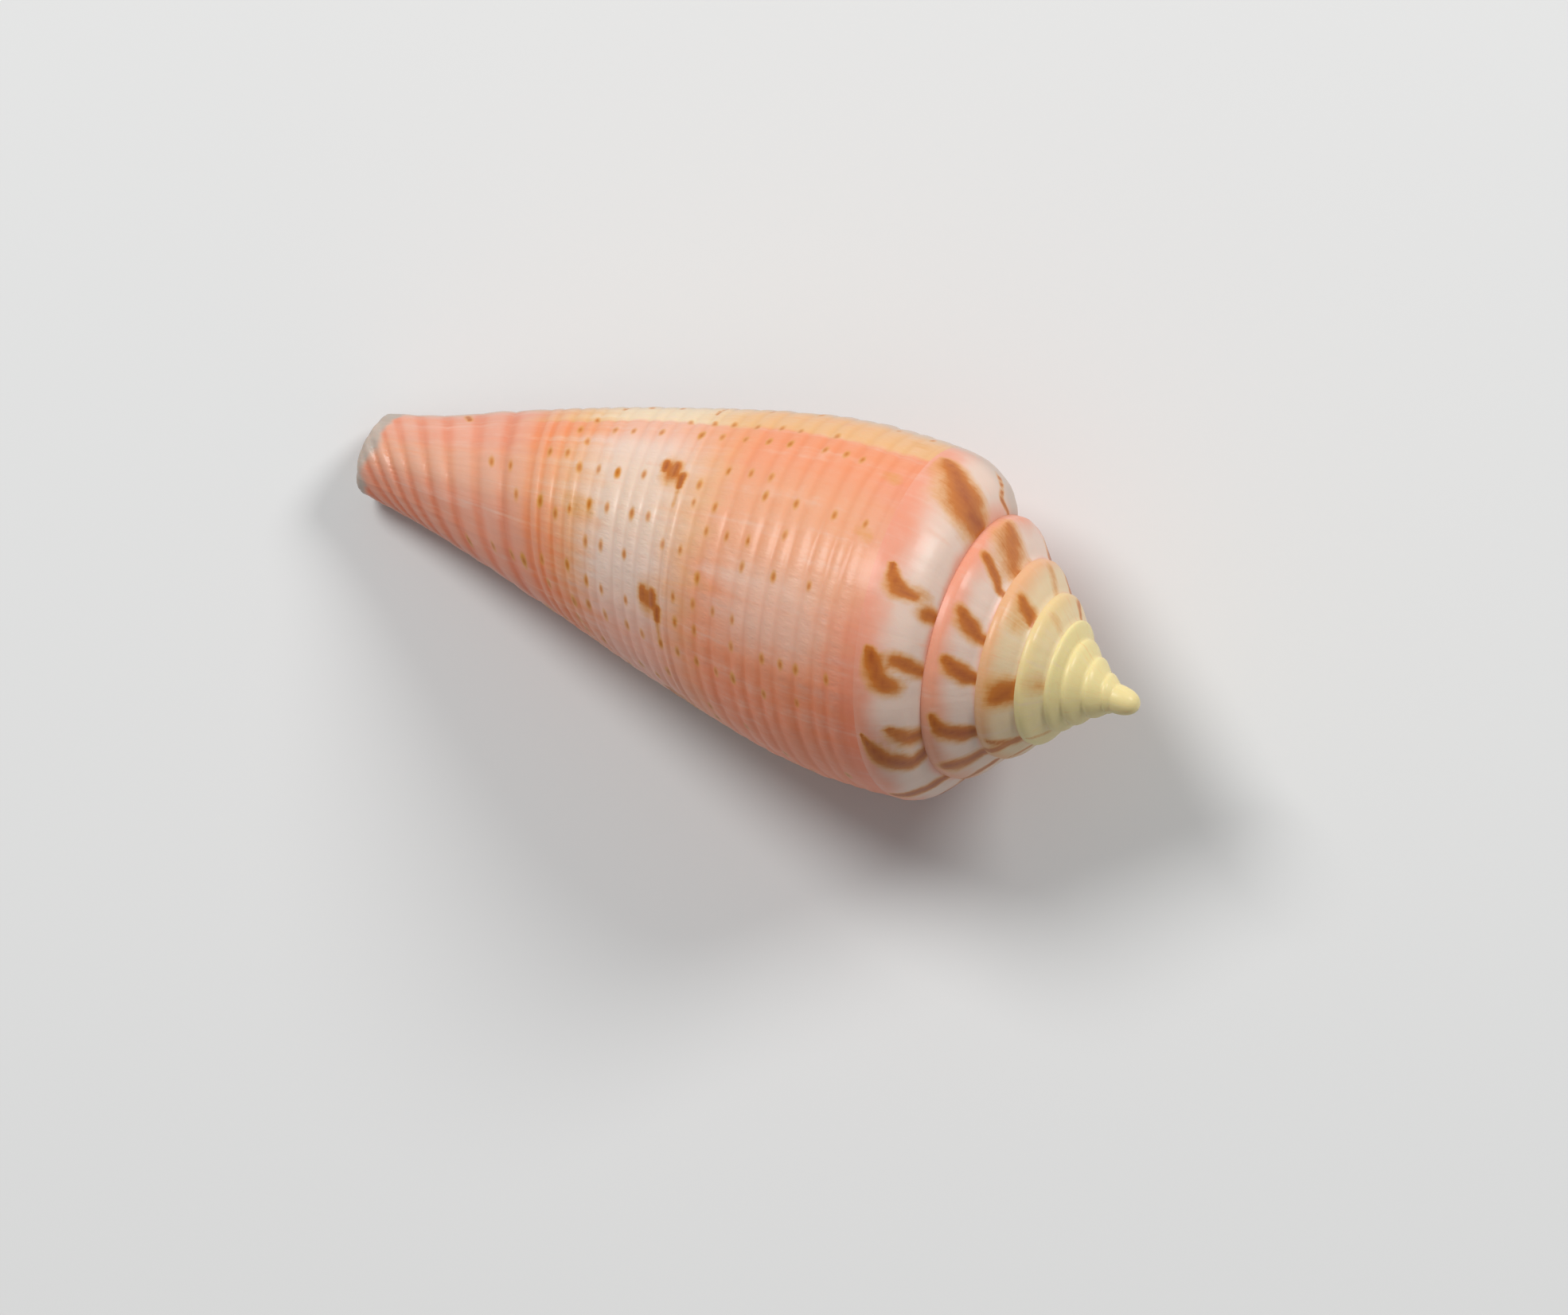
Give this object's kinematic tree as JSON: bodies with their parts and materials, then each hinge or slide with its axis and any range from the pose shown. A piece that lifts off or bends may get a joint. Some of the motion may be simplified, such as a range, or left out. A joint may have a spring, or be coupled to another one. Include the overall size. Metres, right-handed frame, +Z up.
{
  "type": "cone seashell",
  "caption": "Elongated cone seashell with a low stepped spire, spiral cords and a long slit mouth, lying on its belly as a display piece.",
  "frame": {"origin": "centre of the bounding box's bottom, on the surface the shell lies on", "axes": "+X toward the pointed spire along the shell's length, +Z up with the mouth facing down and to +Y"},
  "size_m": [0.0314, 0.0132, 0.0123],
  "materials": {
    "shell": "smooth, softly glossy, salmon pink with white bands, brown dots and a pale yellow tip"
  },
  "bodies": {
    "root": {"shell": "shell"}
  },
  "joints": []
}
